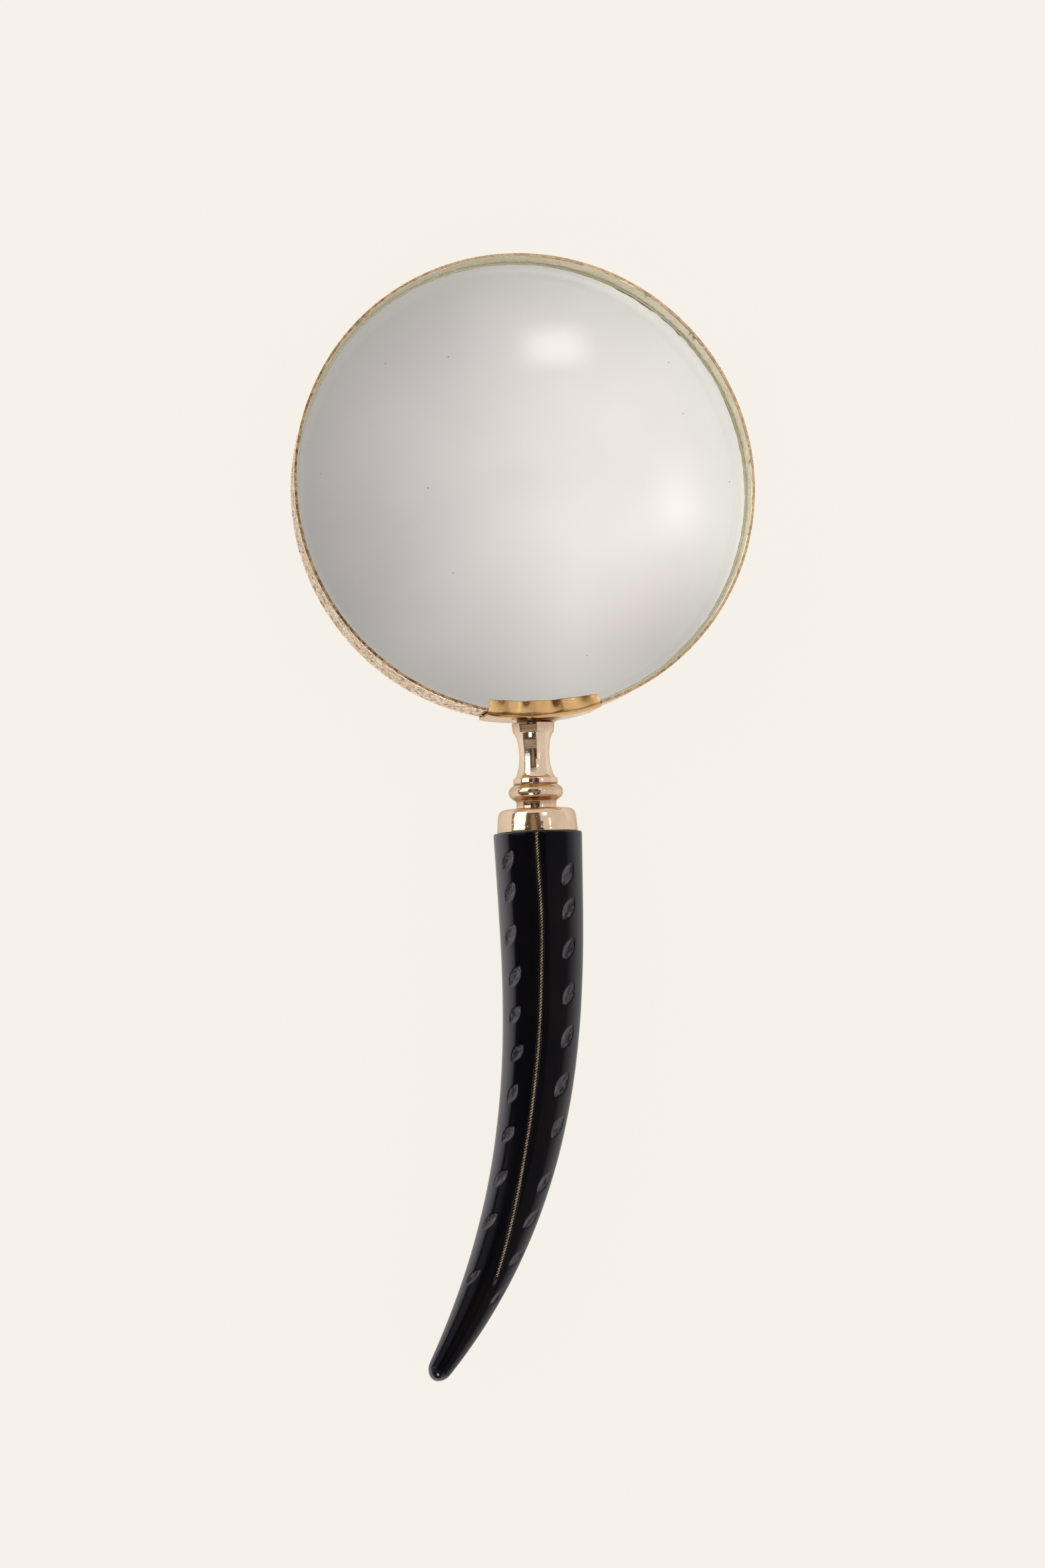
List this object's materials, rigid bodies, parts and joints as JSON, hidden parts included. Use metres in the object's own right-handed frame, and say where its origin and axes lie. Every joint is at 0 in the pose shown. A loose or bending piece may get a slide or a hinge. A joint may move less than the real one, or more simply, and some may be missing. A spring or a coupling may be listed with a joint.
{
  "type": "magnifying glass",
  "caption": "Hand magnifier: round biconvex lens in a textured brass band on a turned brass stem, with a curved, tapering black horn handle inlaid with twisted wire.",
  "frame": {"origin": "middle of the object's outline, on the table it lies on", "axes": "+Z along the lens axis, up from the table; +Y along the handle towards the lens; the horn's tip curves towards -X"},
  "size_m": [0.1034, 0.248, 0.0198],
  "materials": {
    "lens_glass": "polished",
    "rim_brass": "hammered foliage texture outside, worn smooth inside",
    "polished_brass": "polished",
    "clear_cement": "clear, glossy",
    "solder": "dull",
    "black_horn": "polished horn with ground matte notches",
    "wire_brass": "drawn wire, twisted",
    "brown_cement": "brittle resin"
  },
  "bodies": {
    "head": {"lens": "lens_glass", "rim_band": "rim_brass", "seam_solder": "solder", "front_cement": "clear_cement", "back_cement": "clear_cement", "saddle": "polished_brass", "braze_fillet": "solder", "stem": "polished_brass", "stud": "polished_brass"},
    "thread": {"threaded_insert": "polished_brass"},
    "handle": {"ferrule": "polished_brass", "ferrule_cement": "brown_cement", "horn_grip": "black_horn", "inlay_wire": "wire_brass"}
  },
  "joints": [
    {"name": "thread_travel", "type": "slide", "parent": "head", "child": "thread", "axis": [0, -1, 0], "range_m": [0, 0.0085]},
    {"name": "handle_unscrew", "type": "hinge", "parent": "thread", "child": "handle", "pos_m": [0, 0, 0.0099], "axis": [0, -1, 0], "range_deg": [0, 3060]}
  ],
  "couplings": [
    {"joint": "handle_unscrew", "follows": "thread_travel", "rad_per_m": 6283.2}
  ]
}
